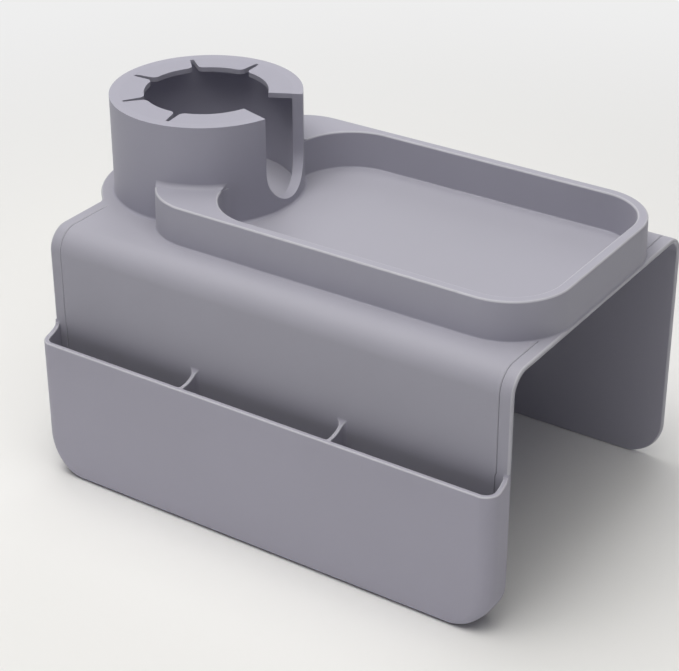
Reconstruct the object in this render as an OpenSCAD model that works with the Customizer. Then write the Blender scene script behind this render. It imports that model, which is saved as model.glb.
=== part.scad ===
// Sofa arm tray: a moulded silicone saddle with a cup holder, a walled tray and a divided side pocket.
// The origin is the centre of the top panel's underside, where the tray rests on the sofa arm.
// +X runs along the arm, +Y points away from the seat and +Z points up.

/* [Saddle] */
// Width of the mat along the sofa arm
mat_w = 300; // [280:1:340]
// Length of the flat top panel across the sofa arm
top_len = 167; // [160:1:200]
// Thickness of the mat
mat_t = 3; // [2.5:0.1:4]
// Outer radius of the bends over the arm's edges
bend_r = 13.5; // [10:0.5:20]
// Depth of the front flap below the panel's underside
front_drop = 148; // [130:1:180]
// Depth of the back flap below the panel's underside
back_drop = 148; // [80:1:180]
// Corner radius at the lower end of both flaps
flap_r = 25; // [10:1:40]
// Distance of the border groove from the mat's side edges
groove_in = 7.5; // [5:0.5:12]
// Width of the border groove
groove_w = 1.2; // [0.8:0.1:2]
// Depth of the border groove
groove_d = 0.6; // [0.3:0.1:1]

/* [Cup holder] */
// Distance of the cup's centre from the mat's left edge
cup_in = 40; // [30:1:60]
// Offset of the cup's centre from the panel's centre line
cup_y = 1.5; // [-5:0.5:5]
// Outer radius of the cup wall
cup_r = 56; // [50:1:60]
// Thickness of the cup wall
cup_wall_t = 6; // [4:0.5:8]
// Height of the cup holder above the mat
cup_h = 60; // [45:1:80]
// Radius of the round base flange that bulges past the mat's edge
base_r = 64; // [62:1:70]
// Fillet at the foot of the cup wall
foot_r = 1.5; // [1:0.5:4]
// Rounding of the grip ring's outer edge
rim_r = 1.2; // [0.5:0.1:2]

/* [Handle gap] */
// Direction of the handle gap from +X
gap_az = 5; // [0:1:15]
// Half of the angle that the handle gap takes out of the ring
gap_half = 22; // [16:1:26]
// Height of the gap's lowest point above the mat
gap_floor = 5; // [3:1:15]

/* [Grip petals] */
// Radius of the mouth between the petals
mouth_r = 36; // [34:0.5:40]
// Radius of the centre of each slit's round end
slit_end_r = 48.5; // [46:0.5:48.5]
// Width of the slits between the petals at their round ends
slit_w = 2.4; // [2:0.2:4]
// Width of the slits at the mouth
slit_mouth_w = 3.6; // [2.4:0.2:6]
// Rounding of the petals' corners at the mouth
petal_corner_r = 4; // [1:0.5:6]
// Thickness of the petals and of the collar that carries them
petal_t = 3; // [2.5:0.1:4]
// Gap between a petal's rounded root and the collar
root_gap = 0.3; // [0.2:0.1:0.5]

/* [Tray] */
// Height of the tray wall above the mat
tray_h = 23; // [15:1:30]
// Thickness of the tray wall
tray_wall_t = 6; // [4:0.5:8]
// Distance of the tray's right outer face from the mat's right edge
tray_right_in = 1.5; // [1:0.5:10]
// Distance of the tray's front outer face from the panel's front end
tray_front_in = 11; // [5:1:20]
// Distance of the tray's back outer face from the panel's back end
tray_back_in = 2.5; // [0:0.5:10]
// Radius of the tray's outer corners
tray_corner_r = 36; // [25:1:45]
// Distance from the cup's centre to the left end of the tray's hollow
hollow_in = 39.5; // [32:0.5:45]
// Radius of the hollow's left corners
hollow_left_r = 36; // [25:1:40]
// Fillet between the webs' flat tops and the cup wall
web_fillet_r = 3; // [1:0.5:5]

/* [Pocket] */
// Depth of the pocket in front of the flap's outer face
pocket_d = 16.5; // [14:0.5:30]
// Wall thickness of the pocket
pocket_t = 3; // [2:0.1:3.5]
// Height of the pocket's front rim below the panel's underside
rim_drop = 61; // [50:1:90]
// Rise of the end walls and dividers from the front rim to the flap
rim_rise = 5; // [2:0.5:8]
// Length over which the end walls and dividers rise
rise_len = 8; // [6:0.5:10]
// Rounding of the pocket's front corners, seen from above
pocket_r = 9; // [5:0.5:12]
// Rounding of the pocket's lower front edge
pocket_low_r = 4; // [3.5:0.5:10]
// Distance of each divider from the centre of the pocket
divider_x = 49; // [40:1:60]
// Thickness of the dividers
divider_t = 2.2; // [1.8:0.1:3]
// Radius of the fillets that spread each divider onto the flap
divider_fillet_r = 3; // [1:0.5:5]

/* [Hidden] */
$fn = 96;

side_x = mat_w / 2;
end_y = top_len / 2;
flap_y = end_y + bend_r;
bend_z = mat_t - bend_r;
groove_x = side_x - groove_in;
cup_x = cup_in - side_x;
cup_in_r = cup_r - cup_wall_t;
cup_top = mat_t + cup_h;
collar_z = cup_top - petal_t;
gap_w = 2 * cup_r * sin(gap_half);
gap_z = mat_t + gap_floor + gap_w / 2;
tray_x1 = side_x - tray_right_in;
tray_y0 = tray_front_in - end_y;
tray_y1 = end_y - tray_back_in;
tray_top = mat_t + tray_h;
hollow_x0 = cup_x + hollow_in;
pocket_y = -flap_y - pocket_d;
rise_r = (rise_len * rise_len + rim_rise * rim_rise) / (2 * rim_rise);

// Directions of the slits' centre lines from the handle gap's centre line, and the petals' ends
slit_rel = [84, 132, 180];
petal_ends = [
    [gap_half, slit_rel[0]],
    [slit_rel[0], slit_rel[1]],
    [slit_rel[1], slit_rel[2]],
    [-slit_rel[2], -slit_rel[1]],
    [-slit_rel[1], -slit_rel[0]],
    [-slit_rel[0], -gap_half]
];
function petal_mid(k) = gap_az + (petal_ends[k][0] + petal_ends[k][1]) / 2;
function petal_half(k) = (petal_ends[k][1] - petal_ends[k][0]) / 2;
// Distance from the cup's centre to the chord on which a petal bends
function chord_d(k) = slit_end_r * cos(petal_half(k));

silicone = [0.62, 0.62, 0.67];
silicone_top = [0.66, 0.66, 0.71];
silicone_dark = [0.50, 0.50, 0.56];

module at_cup() {
    translate([cup_x, cup_y, 0]) children();
}

// Rectangle with a radius of its own at each corner: front left, front right, back right, back left
module rounded_rect(x0, x1, y0, y1, r) {
    corners = [[x0, y0], [x1, y0], [x1, y1], [x0, y1]];
    difference() {
        translate([x0, y0]) square([x1 - x0, y1 - y0]);
        for (k = [0 : 3])
            if (r[k] > 0)
                translate(corners[k]) rotate(90 * k) corner_waste(r[k]);
    }
}

// What a rounded corner loses, with the corner at the origin and the shape in the first quadrant
module corner_waste(r) {
    difference() {
        translate([-1, -1]) square([r + 1, r + 1]);
        translate([r, r]) circle(r = r);
    }
}

// Outline of a flap seen from the front: square at the top and rounded at the lower corners
module flap_outline(low, top, side, r) {
    rounded_rect(-side, side, low, top, [r, r, 0, 0]);
}

// Turns an outline drawn in X and Z into a plate between two values of Y
module plate_y(y0, y1) {
    translate([0, y1, 0]) rotate([90, 0, 0]) linear_extrude(y1 - y0) children();
}

// Turns an outline drawn in Y and Z into a bar between two values of X
module bar_x(x0, x1) {
    translate([x0, 0, 0]) rotate([90, 0, 90]) linear_extrude(x1 - x0) children();
}

// Straight border grooves, cut into an upward face at the height z
module top_grooves(y0, y1, z) {
    for (s = [-1, 1])
        translate([s * groove_x - groove_w / 2, y0, z - groove_d])
            cube([groove_w, y1 - y0, groove_d + 1]);
}

module top_panel() {
    color(silicone_top)
    difference() {
        translate([-side_x, -end_y, 0]) cube([mat_w, top_len, mat_t]);
        at_cup() translate([0, 0, -1]) cylinder(r = base_r, h = mat_t + 2);
        top_grooves(-end_y - 1, end_y + 1, mat_t);
    }
}

module cup_base() {
    color(silicone_top) at_cup() cylinder(r = base_r, h = mat_t);
}

// Cutter for the handle gap: straight sides above a half-round bottom
module handle_gap(r0) {
    rotate([0, 0, gap_az]) {
        translate([r0, -gap_w / 2, gap_z]) cube([cup_r, gap_w, cup_h]);
        translate([r0, 0, gap_z]) rotate([0, 90, 0]) cylinder(d = gap_w, h = cup_r);
    }
}

module cup_wall() {
    color(silicone)
    at_cup()
    difference() {
        union() {
            translate([0, 0, mat_t]) cylinder(r = cup_r, h = collar_z - mat_t);
            rotate_extrude() foot_profile();
        }
        translate([0, 0, mat_t - 1]) cylinder(r = cup_in_r, h = cup_h + 2);
        handle_gap(cup_in_r - cup_wall_t);
    }
}

module foot_profile() {
    difference() {
        translate([cup_in_r + 1, mat_t]) square([cup_wall_t - 1 + foot_r, foot_r]);
        translate([cup_r + foot_r, mat_t + foot_r]) circle(r = foot_r);
    }
}

// Triangle from the cup's centre to a chord at the distance d, with the half angle h, widened by more
module wedge(h, d, more) {
    y = d * tan(h) + more;
    polygon([[0, 0], [d, y], [d, -y]]);
}

// Slits between the petals, seen from above
module slits() {
    for (a = concat(slit_rel, [-slit_rel[1], -slit_rel[0]]))
        rotate(gap_az + a) slit();
}

// One slit along +X: it widens from its round end to the mouth, where the petals' corners are rounded
module slit() {
    start = mouth_r - 6;
    corner_y = slit_mouth_w / 2 + petal_corner_r;
    corner_x = sqrt(pow(mouth_r + petal_corner_r, 2) - corner_y * corner_y);
    tangent = mouth_r / (mouth_r + petal_corner_r);
    polygon([
        [start, -slit_mouth_w / 2], [slit_end_r, -slit_w / 2],
        [slit_end_r, slit_w / 2], [start, slit_mouth_w / 2]
    ]);
    translate([slit_end_r, 0]) circle(d = slit_w, $fn = 24);
    for (s = [-1, 1])
        difference() {
            polygon([
                [start, 0], [corner_x, 0],
                [corner_x, s * corner_y], [tangent * corner_x, s * tangent * corner_y]
            ]);
            translate([corner_x, s * corner_y]) circle(r = petal_corner_r);
        }
}

module grip_collar() {
    color(silicone_top)
    at_cup()
    difference() {
        rotate_extrude()
            rounded_rect(mouth_r, cup_r, collar_z, cup_top, [0, 0, rim_r, 0]);
        translate([0, 0, collar_z - 1]) linear_extrude(petal_t + 2) {
            for (k = [0 : 5]) rotate(petal_mid(k)) wedge(petal_half(k), chord_d(k), slit_w / 4);
            slits();
            rotate(gap_az) wedge(gap_half, 2 * cup_r, 0);
        }
    }
}

// A petal of the grip: flat, with a half-round root that turns in the collar's edge
module petal(k) {
    root_d = chord_d(k) - root_gap - petal_t / 2;
    root_w = 2 * slit_end_r;
    color(silicone_top)
    at_cup() difference() {
        rotate([0, 0, petal_mid(k)]) intersection() {
            translate([0, 0, collar_z]) linear_extrude(petal_t)
                wedge(petal_half(k), chord_d(k), 0);
            union() {
                translate([0, -root_w / 2, collar_z]) cube([root_d, root_w, petal_t]);
                translate([root_d, root_w / 2, collar_z + petal_t / 2])
                    rotate([90, 0, 0]) cylinder(d = petal_t, h = root_w, $fn = 32);
            }
        }
        translate([0, 0, collar_z - 1]) cylinder(r = mouth_r, h = petal_t + 2);
        translate([0, 0, collar_z - 1]) linear_extrude(petal_t + 2) slits();
    }
}

// The tray wall seen from above, with the webs that run into the cup wall
module tray_ring() {
    inner_r = tray_corner_r - tray_wall_t;
    difference() {
        rounded_rect(
            cup_x, tray_x1, tray_y0, tray_y1,
            [tray_corner_r, tray_corner_r, tray_corner_r, tray_corner_r]
        );
        rounded_rect(
            hollow_x0, tray_x1 - tray_wall_t, tray_y0 + tray_wall_t, tray_y1 - tray_wall_t,
            [hollow_left_r, inner_r, inner_r, hollow_left_r]
        );
    }
}

// Section of the fillet on the webs, sunk a little so that it cuts their flat tops at an angle, and
// blunt at the top
module web_fillet_profile() {
    sink = 0.05;
    blunt = 0.6;
    difference() {
        translate([cup_r - 1, tray_top - 1])
            square([web_fillet_r + 1, web_fillet_r + 1 - blunt]);
        translate([cup_r + web_fillet_r, tray_top - sink + web_fillet_r]) circle(r = web_fillet_r);
    }
}

module tray_wall() {
    color(silicone)
    difference() {
        union() {
            translate([0, 0, mat_t]) linear_extrude(tray_h) tray_ring();
            intersection() {
                translate([0, 0, mat_t]) linear_extrude(tray_h + web_fillet_r) tray_ring();
                at_cup() rotate_extrude() web_fillet_profile();
            }
        }
        at_cup() translate([0, 0, mat_t - 1]) cylinder(r = cup_r, h = cup_h);
        at_cup() rotate_extrude() foot_profile();
    }
}

// Quarter tube over an edge of the arm, with the border grooves
module bend() {
    translate([0, -end_y, bend_z]) rotate([0, 90, 0]) rotate([0, 0, 180])
    difference() {
        translate([0, 0, -side_x]) cylinder(r = bend_r, h = mat_w);
        translate([0, 0, -side_x - 1]) cylinder(r = bend_r - mat_t, h = mat_w + 2);
        translate([-bend_r - 1, -bend_r - 1, -side_x - 1])
            cube([bend_r + 1, 2 * bend_r + 2, mat_w + 2]);
        translate([-1, -bend_r - 1, -side_x - 1]) cube([bend_r + 2, bend_r + 1, mat_w + 2]);
        for (s = [-1, 1])
            translate([0, 0, s * groove_x - groove_w / 2]) difference() {
                cylinder(r = bend_r + 1, h = groove_w);
                translate([0, 0, -1]) cylinder(r = bend_r - groove_d, h = groove_w + 2);
            }
    }
}

// Hanging sheet with rounded lower corners, with the border grooves
module flap(drop, groove_low) {
    difference() {
        plate_y(-flap_y, -flap_y + mat_t) flap_outline(-drop, bend_z, side_x, flap_r);
        for (s = [-1, 1])
            translate([s * groove_x - groove_w / 2, -flap_y - 1, groove_low])
                cube([groove_w, groove_d + 1, bend_z - groove_low + 1]);
    }
}

module front_bend() {
    color(silicone_top) bend();
}

module back_bend() {
    color(silicone_top) mirror([0, 1, 0]) bend();
}

module front_flap() {
    color(silicone) flap(front_drop, -rim_drop);
}

module back_flap() {
    color(silicone) mirror([0, 1, 0]) flap(back_drop, -back_drop + flap_r);
}

// Region in Y and Z below the pocket's rim, which sweeps up to the flap
module rim_side(y0, y1, low) {
    difference() {
        translate([y0, low]) square([y1 - y0, rim_rise - rim_drop - low]);
        translate([-flap_y - rise_len, rise_r - rim_drop]) circle(r = rise_r);
        translate([y0 - 1, -rim_drop])
            square([-flap_y - rise_len - y0 + 1, rim_rise + 1]);
    }
}

// Block with the pocket's rounded corners, drawn in by an inset and longer at the back and top by more
module pocket_block(inset, more) {
    r = flap_r - inset;
    y0 = pocket_y + inset;
    low = -front_drop + inset;
    side = side_x - inset;
    intersection() {
        plate_y(y0, more - flap_y) flap_outline(low, more, side, r);
        translate([0, 0, low]) linear_extrude(more - low)
            rounded_rect(-side, side, y0, more - flap_y, [pocket_r - inset, pocket_r - inset, 0, 0]);
        bar_x(-side, side)
            rounded_rect(y0, more - flap_y, low, more, [pocket_low_r - inset, 0, 0, 0]);
    }
}

module pocket() {
    color(silicone)
    intersection() {
        difference() {
            pocket_block(0, 0);
            pocket_block(pocket_t, 1);
        }
        bar_x(-side_x - 1, side_x + 1) rim_side(pocket_y - 1, -flap_y, -front_drop - 1);
    }
}

// A divider seen from above, from inside the pocket's front wall to the flap
module divider_plan(x) {
    fillet_x = divider_t / 2 + divider_fillet_r;
    translate([x - divider_t / 2, pocket_y]) square([divider_t, pocket_d]);
    difference() {
        translate([x - fillet_x, -flap_y - divider_fillet_r])
            square([2 * fillet_x, divider_fillet_r]);
        for (s = [-1, 1])
            translate([x + s * fillet_x, -flap_y - divider_fillet_r])
                circle(r = divider_fillet_r);
    }
}

module divider(x) {
    color(silicone_dark)
    intersection() {
        translate([0, 0, -front_drop]) linear_extrude(front_drop) divider_plan(x);
        pocket_block(pocket_t, 0);
        bar_x(-side_x, side_x) rim_side(pocket_y, -flap_y, -front_drop);
    }
}

module divider_left() {
    divider(-divider_x);
}

module divider_right() {
    divider(divider_x);
}

top_panel();
cup_base();
cup_wall();
grip_collar();
petal(0);  // petal_1
petal(1);  // petal_2
petal(2);  // petal_3
petal(3);  // petal_4
petal(4);  // petal_5
petal(5);  // petal_6
tray_wall();
front_bend();
front_flap();
pocket();
divider_left();
divider_right();
back_bend();
back_flap();
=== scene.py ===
# %% [markdown]
# A sofa arm tray is one moulding of soft silicone rubber: a mat that saddles the sofa's arm, with a
# cup holder, a walled tray and a divided pocket growing out of it. The imported model gives the sizes
# and says what moves. This script gives each zone its rounded, moulded skin and its finish. All
# lengths below are written in millimetres and divided by 1000 where the points are made, because a
# moulding's drawing is in millimetres too.

# %% Load the frame
import math

import bmesh
import bpy
from mathutils import Matrix, Vector


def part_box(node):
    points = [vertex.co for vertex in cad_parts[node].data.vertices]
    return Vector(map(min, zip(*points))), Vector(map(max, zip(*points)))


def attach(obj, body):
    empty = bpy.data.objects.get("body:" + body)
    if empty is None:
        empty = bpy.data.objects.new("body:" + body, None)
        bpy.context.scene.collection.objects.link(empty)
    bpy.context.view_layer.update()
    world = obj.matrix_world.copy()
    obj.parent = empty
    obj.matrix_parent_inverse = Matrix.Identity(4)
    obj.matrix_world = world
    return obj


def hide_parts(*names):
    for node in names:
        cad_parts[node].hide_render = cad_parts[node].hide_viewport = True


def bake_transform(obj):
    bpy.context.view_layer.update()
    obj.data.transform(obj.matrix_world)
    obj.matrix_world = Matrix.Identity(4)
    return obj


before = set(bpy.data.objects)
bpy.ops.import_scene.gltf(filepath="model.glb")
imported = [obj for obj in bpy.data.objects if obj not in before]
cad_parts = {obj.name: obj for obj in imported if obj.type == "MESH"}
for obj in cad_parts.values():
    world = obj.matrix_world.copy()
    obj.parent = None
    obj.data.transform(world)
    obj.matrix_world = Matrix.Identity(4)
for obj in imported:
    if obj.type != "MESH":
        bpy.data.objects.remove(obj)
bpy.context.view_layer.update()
print("nodes:", sorted(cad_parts))

# %% [markdown]
# The driving sizes are read from the frame where a node's box states them, so that the skin always
# fits the solids. The rest are the radii and wall thicknesses of the moulding.

# %% Sizes
def node_box(node):
    low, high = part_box(node)
    return [v * 1000 for v in low], [v * 1000 for v in high]


panel_low, panel_high = node_box("top_panel")
flap_low, flap_high = node_box("front_flap")
base_low, base_high = node_box("cup_base")
collar_low, collar_high = node_box("grip_collar")
wall_low, wall_high = node_box("tray_wall")
pocket_low, pocket_high = node_box("pocket")
divider_low, divider_high = node_box("divider_right")

MAT_T = panel_high[2]
SIDE = panel_high[0]
END_Y = panel_high[1]
FLAP_Y = -flap_low[1]
BEND_R = FLAP_Y - END_Y
DROP = -flap_low[2]
FLAP_R = 25
GROOVE_IN = 7.5
CUP_X = (base_low[0] + base_high[0]) / 2
CUP_Y = (base_low[1] + base_high[1]) / 2
BASE_R = (base_high[0] - base_low[0]) / 2
CUP_TOP = collar_high[2]
CUP_R = CUP_X - collar_low[0]
CUP_WALL = 6
CUP_IN_R = CUP_R - CUP_WALL
TRAY_TOP = MAT_T + 23
POCKET_Y = pocket_low[1]
print("mat %.1f wide, %.1f between bends, drop %.1f" % (2 * SIDE, 2 * END_Y, DROP))
print("cup at", round(CUP_X, 2), round(CUP_Y, 2), "radius", round(CUP_R, 2), "top", round(CUP_TOP, 2))


# %% [markdown]
# The camera comes first. It stands to the right of the tray, in front of it and above it, and looks
# down at the cup holder's corner with a long lens, so the edges converge only a little.

# %% Camera
CAMERA_AT = (535.7, -828.5, 485.2)
CAMERA_RIGHT = Vector((0.83263, 0.55382, -0.00271))
CAMERA_UP = Vector((-0.26764, 0.40665, 0.87350))
CAMERA_LENS = 103.16

camera_data = bpy.data.cameras.new("view")
camera_data.lens = CAMERA_LENS
camera_data.sensor_width = 36
camera_data.clip_start = 0.05
camera_data.clip_end = 20
camera = bpy.data.objects.new("view", camera_data)
bpy.context.scene.collection.objects.link(camera)
camera_back = CAMERA_RIGHT.cross(CAMERA_UP).normalized()
camera_turn = Matrix((CAMERA_RIGHT, CAMERA_UP, camera_back)).transposed().to_4x4()
camera.matrix_world = Matrix.Translation(Vector(CAMERA_AT) / 1000) @ camera_turn
bpy.context.scene.camera = camera
print("camera at", [round(v, 3) for v in camera.location], "lens", CAMERA_LENS)


# %% [markdown]
# Most of the moulding is a section swept along a path: the mat's section along its saddle, the tray
# wall's section round the tray, the pocket's outline from the flap to its face. One helper does all
# of them. It draws the first outline with a few edges, and extrudes those edges from station to
# station, moving the new points to where the next outline says. Where the path has ends, the end
# outlines are filled.

# %% Loft helper
def loft(bm, outlines, closed=True, fill_ends=False):
    first = [bm.verts.new(Vector(p) / 1000) for p in outlines[0]]
    count = len(first)
    spans = count if closed else count - 1
    edges = [bm.edges.new((first[i], first[(i + 1) % count])) for i in range(spans)]
    rings = [first]
    ring = first
    ends = [edges]
    for outline in outlines[1:]:
        made = bmesh.ops.extrude_edge_only(bm, edges=edges)["geom"]
        new_edges = {e for e in made if isinstance(e, bmesh.types.BMEdge)}
        new_verts = {v for v in made if isinstance(v, bmesh.types.BMVert)}
        following = []
        for vert in ring:
            partner = next(e.other_vert(vert) for e in vert.link_edges if e.other_vert(vert) in new_verts)
            following.append(partner)
        for vert, p in zip(following, outline):
            vert.co = Vector(p) / 1000
        edges = [e for e in new_edges if e.verts[0] in new_verts and e.verts[1] in new_verts]
        rings.append(following)
        ring = following
    if fill_ends:
        for end in (ends[0], edges):
            bmesh.ops.edgeloop_fill(bm, edges=end)
    return rings


def arc(centre, radius, start, stop, steps):
    turns = [math.radians(start + (stop - start) * i / steps) for i in range(steps + 1)]
    return [(centre[0] + radius * math.cos(t), centre[1] + radius * math.sin(t)) for t in turns]


# %% [markdown]
# A finished mesh is smooth-shaded except at the few edges that are left sharp, such as the cut ends
# where two pieces of the moulding meet. A weighted normal modifier lets the large flat faces win over
# the narrow roundings, which is what keeps a moulded panel flat right up to its rounded edge.

# %% Finishing helper
SHARP = math.radians(50)
EDGE_BEND = (0.25, 0.60)
CREASE_BEND = (1.5, 3.0)
TIGHTEST = 2.5
NARROW = 1.3


def bend_of(edge):
    """Curvature across an edge in 1/mm, positive where the surface bends outwards."""
    width = sum(face.calc_area() for face in edge.link_faces) / 2 / max(edge.calc_length(), 1e-9)
    return edge.calc_face_angle_signed(0) / max(width * 1000, 1e-6)


def between(value, low, high):
    return max(0.0, min(1.0, (value - low) / (high - low)))


def mark_edges(bm):
    """Stores where a narrow face is part of a rounded edge, which the materials paint paler (wear and a
    painted highlight), and where it lies in a groove, which they darken with painted shade.
    """
    bm.normal_update()
    rounded, creased = {}, {}
    for edge in bm.edges:
        if len(edge.link_faces) != 2:
            continue
        bend = bend_of(edge)
        for vert in edge.verts:
            if edge.smooth and bend < TIGHTEST:
                rounded[vert] = max(rounded.get(vert, 0), between(bend, *EDGE_BEND))
            creased[vert] = max(creased.get(vert, 0), between(-bend, *CREASE_BEND))
    edge_layer = bm.loops.layers.float.new("edge")
    crease_layer = bm.loops.layers.float.new("crease")
    for face in bm.faces:
        width = face.calc_area() / max(e.calc_length() for e in face.edges)
        narrow = width * 1000 < NARROW
        for loop in face.loops:
            loop[edge_layer] = rounded.get(loop.vert, 0) if narrow else 0
            loop[crease_layer] = creased.get(loop.vert, 0) if narrow else 0


def place_mesh(bm, name):
    mesh = bpy.data.meshes.new(name)
    bm.to_mesh(mesh)
    bm.free()
    piece = bpy.data.objects.new(name, mesh)
    bpy.context.scene.collection.objects.link(piece)
    return piece


def finish_piece(bm, name, turn_out=True):
    bmesh.ops.remove_doubles(bm, verts=bm.verts[:], dist=1e-6)
    if turn_out:
        bmesh.ops.recalc_face_normals(bm, faces=bm.faces[:])
    for edge in bm.edges:
        edge.smooth = len(edge.link_faces) == 2 and edge.calc_face_angle(0) < SHARP
    mark_edges(bm)
    piece = place_mesh(bm, name)
    for polygon in piece.data.polygons:
        polygon.use_smooth = True
    weigh = piece.modifiers.new("weighted_normals", "WEIGHTED_NORMAL")
    weigh.mode = "FACE_AREA"
    weigh.weight = 60
    weigh.keep_sharp = True
    print(name, "faces", len(piece.data.polygons))
    return piece


# %% [markdown]
# The mat is a sheet 3 mm thick with softly rounded edges and a fine groove inside each side edge.
# Its section runs across the width, and the path goes up the front flap, over the front bend,
# across the arm and down again behind it. The left edge swells out round the cup holder's foot, and
# a smooth minimum of the two outlines gives the small fillet where the swell meets the edge.

# %% Mat section
EDGE_R = 1.3
EDGE_STEPS = 6
GROOVE_HALF = 0.65
GROOVE_DEEP = 0.75


def groove_bumps(fade=1.0):
    """Offsets from the groove's middle and depths below the surface."""
    steps = 6
    deep = GROOVE_DEEP * fade / 2
    return [
        (GROOVE_HALF * (2 * i / steps - 1), deep * (1 + math.cos(math.pi * (2 * i / steps - 1))))
        for i in range(steps + 1)
    ]


def groove_fade(y):
    """The left groove runs out where it would reach the cup holder's round foot."""
    reach = math.sqrt(BASE_R ** 2 - (SIDE - GROOVE_IN + CUP_X) ** 2)
    return max(0.0, min(1.0, (abs(y - CUP_Y) - reach) / 3))


def mat_section(left, right, groove_left, groove_right, thin=1.0, fade=1.0):
    """Points (x, height) round the sheet: along the top from left to right and back underneath."""
    middle = MAT_T / 2
    points = []
    corner = EDGE_R * thin
    top = middle + middle * thin
    low = middle - middle * thin
    points += [(left + corner - corner * math.sin(t), top - corner + corner * math.cos(t))
               for t in [math.pi / 2 * (1 - i / EDGE_STEPS) for i in range(EDGE_STEPS + 1)]]
    points += [(groove_left + dx, top - depth * thin) for dx, depth in groove_bumps(fade)]
    points += [(groove_right + dx, top - depth * thin) for dx, depth in groove_bumps()]
    points += [(right - corner + corner * math.sin(t), top - corner + corner * math.cos(t))
               for t in [math.pi / 2 * i / EDGE_STEPS for i in range(EDGE_STEPS + 1)]]
    points += [(right - corner + corner * math.cos(t), low + corner - corner * math.sin(t))
               for t in [math.pi / 2 * i / EDGE_STEPS for i in range(EDGE_STEPS + 1)]]
    points += [(left + corner - corner * math.sin(t), low + corner - corner * math.cos(t))
               for t in [math.pi / 2 * i / EDGE_STEPS for i in range(EDGE_STEPS + 1)]]
    return points


def smooth_min(a, b, blend):
    h = max(0.0, min(1.0, 0.5 + 0.5 * (b - a) / blend))
    return b + (a - b) * h - blend * h * (1 - h)


def left_edge(y):
    reach = BASE_R * BASE_R - (y - CUP_Y) ** 2
    swell = CUP_X - math.sqrt(reach) if reach > 0 else CUP_X
    return max(CUP_X - BASE_R, smooth_min(-SIDE, swell, 5.0)) if abs(y - CUP_Y) < BASE_R else -SIDE


def flap_half_width(above_low):
    """Half of the flap's width at a height above its lower edge."""
    if above_low >= FLAP_R:
        return SIDE
    return SIDE - FLAP_R + math.sqrt(max(0.0, FLAP_R ** 2 - (FLAP_R - above_low) ** 2))


# %% Mat stations
PANEL_CUT = END_Y - 2.0
BEND_STEPS = 20
CORNER_STEPS = 16


def flat_station(y):
    section = mat_section(
        left_edge(y), SIDE, -SIDE + GROOVE_IN, SIDE - GROOVE_IN, fade=groove_fade(y)
    )
    return [(x, y, h) for x, h in section]


def bend_station(side, angle):
    """side is -1 at the front and 1 at the back; the angle runs from 0 on top to 90 down the flap."""
    t = math.radians(angle)
    points = []
    for x, h in mat_section(-SIDE, SIDE, -SIDE + GROOVE_IN, SIDE - GROOVE_IN):
        radius = BEND_R - MAT_T + h
        points.append((x, side * (END_Y + radius * math.sin(t)), MAT_T - BEND_R + radius * math.cos(t)))
    return points


def flap_station(side, z, thin=1.0, narrow=0.0):
    half = flap_half_width(z + DROP) - narrow
    groove = half - GROOVE_IN
    section = mat_section(-half, half, -groove, groove, thin)
    return [(x, side * (FLAP_Y - MAT_T + h), z) for x, h in section]


def flap_corner_heights():
    """Heights of the stations round the flap's lower corners, and over its rounded lower edge."""
    heights = []
    for i in range(CORNER_STEPS + 1):
        t = math.pi / 2 * i / CORNER_STEPS
        heights.append(-DROP + FLAP_R * (1 - math.sin(t)))
    return heights


def flap_stations(side, narrow_below=None):
    stations = [bend_station(side, 90 * i / BEND_STEPS) for i in range(BEND_STEPS + 1)]
    bend_low = MAT_T - BEND_R
    straight_low = -DROP + FLAP_R
    if narrow_below is None:
        steps = 8
        stations += [
            flap_station(side, bend_low + (straight_low - bend_low) * i / steps) for i in range(1, steps)
        ]
        narrow = 0.0
    else:
        stations += [flap_station(side, bend_low + (narrow_below - bend_low) * i / 4) for i in range(1, 5)]
        narrow = 0.6
        stations += [flap_station(side, narrow_below - 1.5, 1.0, narrow)]
    corner = flap_corner_heights()
    stations += [flap_station(side, z, 1.0, narrow) for z in corner if z > -DROP + 1.6]
    for i in range(5):
        t = math.pi / 2 * i / 4
        z = -DROP + narrow + 1.3 * (1 - math.sin(t))
        stations.append(flap_station(side, z, 0.35 + 0.65 * math.cos(t), narrow))
    return stations


# %% [markdown]
# The sheet is made as three pieces that meet on the flat top, just inside the bends, where the
# surfaces and their normals agree and no seam shows. The top rides on the saddle. The front and the
# back pieces, over the bends and down the flaps, stay where they are made.

# %% Mat pieces
def lobe_rows():
    """Values of y across the flat top, closer together where the left edge swells."""
    rows = [-PANEL_CUT]
    steps = 64
    for i in range(steps + 1):
        rows.append(CUP_Y - BASE_R * math.cos(math.pi * i / steps) * 1.0)
    rows.append(PANEL_CUT)
    return rows


def make_mat_top():
    bm = bmesh.new()
    loft(bm, [flat_station(y) for y in lobe_rows()], fill_ends=True)
    return finish_piece(bm, "mat_top")


def make_mat_side(side, name, narrow_below):
    bm = bmesh.new()
    outlines = [flat_station(side * PANEL_CUT)] + flap_stations(side, narrow_below)
    loft(bm, outlines, fill_ends=True)
    return finish_piece(bm, name)


mat_top = make_mat_top()
mat_front = make_mat_side(-1, "mat_front", -56)
mat_back = make_mat_side(1, "mat_back", None)

# %% [markdown]
# The cup holder is a straight cylinder, 6 mm thick, with a U-shaped gap for a mug's handle. The gap
# is built into the grid of the wall: columns inside the gap end on the half-round, so there is no
# cut that could leave slivers, and every edge of the gap can be rounded. The foot of the wall flows
# into the mat with a small fillet.

# %% Cup wall grid
GAP_AZ = 5
GAP_HALF = 22
GAP_W = 2 * CUP_R * math.sin(math.radians(GAP_HALF))
GAP_Z = MAT_T + 5 + GAP_W / 2
GAP_COLUMNS = 24
WALL_COLUMNS = 132
FOOT_R = 1.5
FOOT_ROWS = 5
LOW_ROWS = 5
HIGH_ROWS = 6


def foot_height(i):
    return FOOT_R * (1 - math.cos(math.pi / 2 * i / FOOT_ROWS))


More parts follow.
